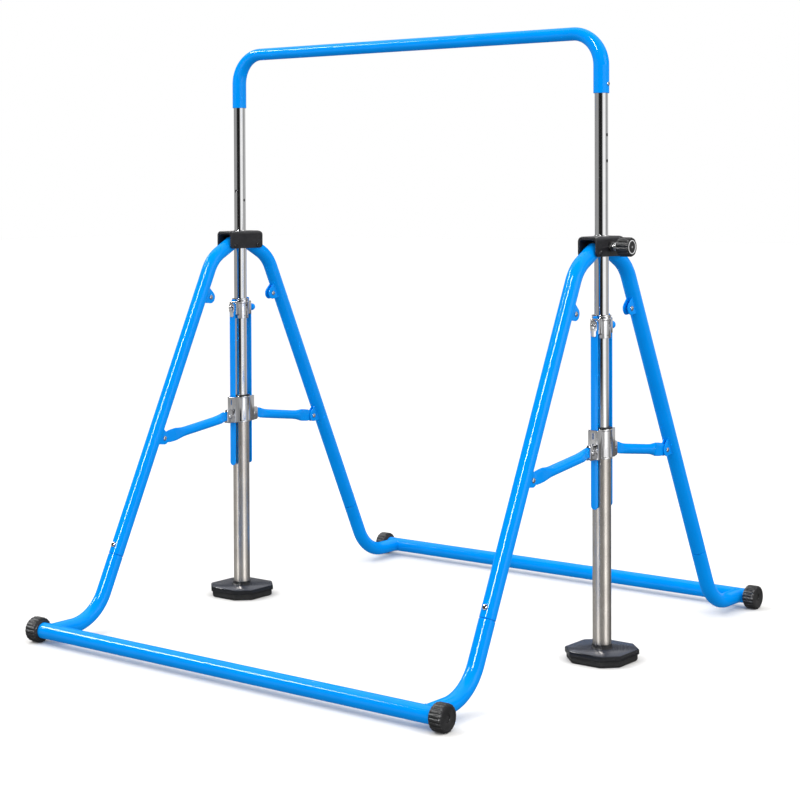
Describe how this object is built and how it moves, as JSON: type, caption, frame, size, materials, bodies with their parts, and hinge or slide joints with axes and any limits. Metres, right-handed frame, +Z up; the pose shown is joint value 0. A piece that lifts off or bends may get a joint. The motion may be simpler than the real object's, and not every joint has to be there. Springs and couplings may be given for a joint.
{
  "type": "folding gymnastics bar",
  "caption": "Free-standing gymnastics bar: a height-adjustable U-shaped hand bar on telescopic posts with folding leg frames, braces and foot pads.",
  "frame": {"origin": "on the floor, midway between the two posts", "axes": "+X along the hand bar towards the knob side, +Y from the front base tube to the rear one, +Z up"},
  "size_m": [1.335, 1.462, 1.516],
  "materials": {
    "blue_paint": "gloss powder coat, azure blue",
    "chrome": "bright chrome plate",
    "steel_tube": "polished stainless tube",
    "black_paint": "satin black paint on folded steel",
    "black_plastic": "moulded black plastic, fine grain",
    "black_rubber": "matt black rubber"
  },
  "bodies": {
    "front_frame": {"front_base_tube": "blue_paint", "front_left_end_cap": "black_plastic", "front_left_foot_tube": "blue_paint", "front_left_leg": "blue_paint", "front_right_end_cap": "black_plastic", "front_right_foot_tube": "blue_paint", "front_right_leg": "blue_paint"},
    "front_left_brace": {"front_left_brace": "blue_paint"},
    "posts": {"front_left_hinge_bolt": "black_paint", "front_left_strap": "blue_paint", "front_right_hinge_bolt": "black_paint", "front_right_strap": "blue_paint", "knob_boss": "black_plastic", "left_bracket": "black_paint", "left_mid_post": "steel_tube", "left_slide_bush": "black_plastic", "left_strap_bolt": "chrome", "left_strap_collar": "chrome", "left_strap_nut": "blue_paint", "rear_left_hinge_bolt": "black_paint", "rear_left_strap": "blue_paint", "rear_right_hinge_bolt": "black_paint", "rear_right_strap": "blue_paint", "right_bracket": "black_paint", "right_mid_post": "steel_tube", "right_slide_bush": "black_plastic", "right_strap_bolt": "chrome", "right_strap_collar": "chrome", "right_strap_nut": "blue_paint"},
    "left_lower_post": {"front_left_pivot_bolt": "chrome", "left_guide_bush": "black_plastic", "left_lower_collar": "chrome", "left_lower_tube": "steel_tube", "left_pad_plate": "black_plastic", "left_pad_sole": "black_rubber", "rear_left_pivot_bolt": "chrome"},
    "front_right_brace": {"front_right_brace": "blue_paint"},
    "right_lower_post": {"front_right_pivot_bolt": "chrome", "rear_right_pivot_bolt": "chrome", "right_guide_bush": "black_plastic", "right_lower_collar": "chrome", "right_lower_tube": "steel_tube", "right_pad_plate": "black_plastic", "right_pad_sole": "black_rubber"},
    "top_bar": {"left_bar_screw": "chrome", "left_inner_tube": "steel_tube", "right_bar_screw": "chrome", "right_inner_tube": "steel_tube", "top_bar": "blue_paint"},
    "knob": {"lock_knob": "black_plastic"},
    "plunger": {"plunger_pin": "chrome"},
    "rear_frame": {"rear_base_tube": "blue_paint", "rear_left_end_cap": "black_plastic", "rear_left_foot_tube": "blue_paint", "rear_left_leg": "blue_paint", "rear_right_end_cap": "black_plastic", "rear_right_foot_tube": "blue_paint", "rear_right_leg": "blue_paint"},
    "rear_left_brace": {"rear_left_brace": "blue_paint"},
    "rear_right_brace": {"rear_right_brace": "blue_paint"}
  },
  "joints": [
    {"name": "front_fold", "type": "hinge", "parent": "posts", "child": "front_frame", "pos_m": [0, -0.045, 0.976], "axis": [1, 0, 0], "range_deg": [0, 21]},
    {"name": "rear_fold", "type": "hinge", "parent": "posts", "child": "rear_frame", "pos_m": [0, 0.045, 0.976], "axis": [1, 0, 0], "range_deg": [-21, 0]},
    {"name": "left_post_slide", "type": "slide", "parent": "posts", "child": "left_lower_post", "axis": [0, 0, 1], "range_m": [0, 0.05]},
    {"name": "right_post_slide", "type": "slide", "parent": "posts", "child": "right_lower_post", "axis": [0, 0, 1], "range_m": [0, 0.05]},
    {"name": "front_left_brace_swing", "type": "hinge", "parent": "left_lower_post", "child": "front_left_brace", "pos_m": [-0.586, -0.049, 0.502], "axis": [1, 0, 0], "range_deg": [0, 81]},
    {"name": "rear_left_brace_swing", "type": "hinge", "parent": "left_lower_post", "child": "rear_left_brace", "pos_m": [-0.586, 0.049, 0.502], "axis": [1, 0, 0], "range_deg": [-81, 0]},
    {"name": "front_right_brace_swing", "type": "hinge", "parent": "right_lower_post", "child": "front_right_brace", "pos_m": [0.586, -0.049, 0.502], "axis": [1, 0, 0], "range_deg": [0, 81]},
    {"name": "rear_right_brace_swing", "type": "hinge", "parent": "right_lower_post", "child": "rear_right_brace", "pos_m": [0.586, 0.049, 0.502], "axis": [1, 0, 0], "range_deg": [-81, 0]},
    {"name": "bar_height", "type": "slide", "parent": "posts", "child": "top_bar", "axis": [0, 0, 1], "range_m": [-0.33, 0]},
    {"name": "plunger_pull", "type": "slide", "parent": "posts", "child": "plunger", "axis": [1, 0, 0], "range_m": [0, 0.01], "stiffness_N_per_m": 400, "springref_m": -0.004},
    {"name": "knob_turn", "type": "hinge", "parent": "plunger", "child": "knob", "pos_m": [0.6355, 0, 0.99], "axis": [1, 0, 0], "continuous": true}
  ],
  "couplings": [
    {"joint": "rear_fold", "follows": "front_fold", "ratio": -1},
    {"joint": "left_post_slide", "follows": "front_fold", "m_per_rad": 0.1364},
    {"joint": "right_post_slide", "follows": "front_fold", "m_per_rad": 0.1364},
    {"joint": "front_left_brace_swing", "follows": "front_fold", "ratio": 3.857},
    {"joint": "rear_left_brace_swing", "follows": "front_fold", "ratio": -3.857},
    {"joint": "front_right_brace_swing", "follows": "front_fold", "ratio": 3.857},
    {"joint": "rear_right_brace_swing", "follows": "front_fold", "ratio": -3.857}
  ]
}
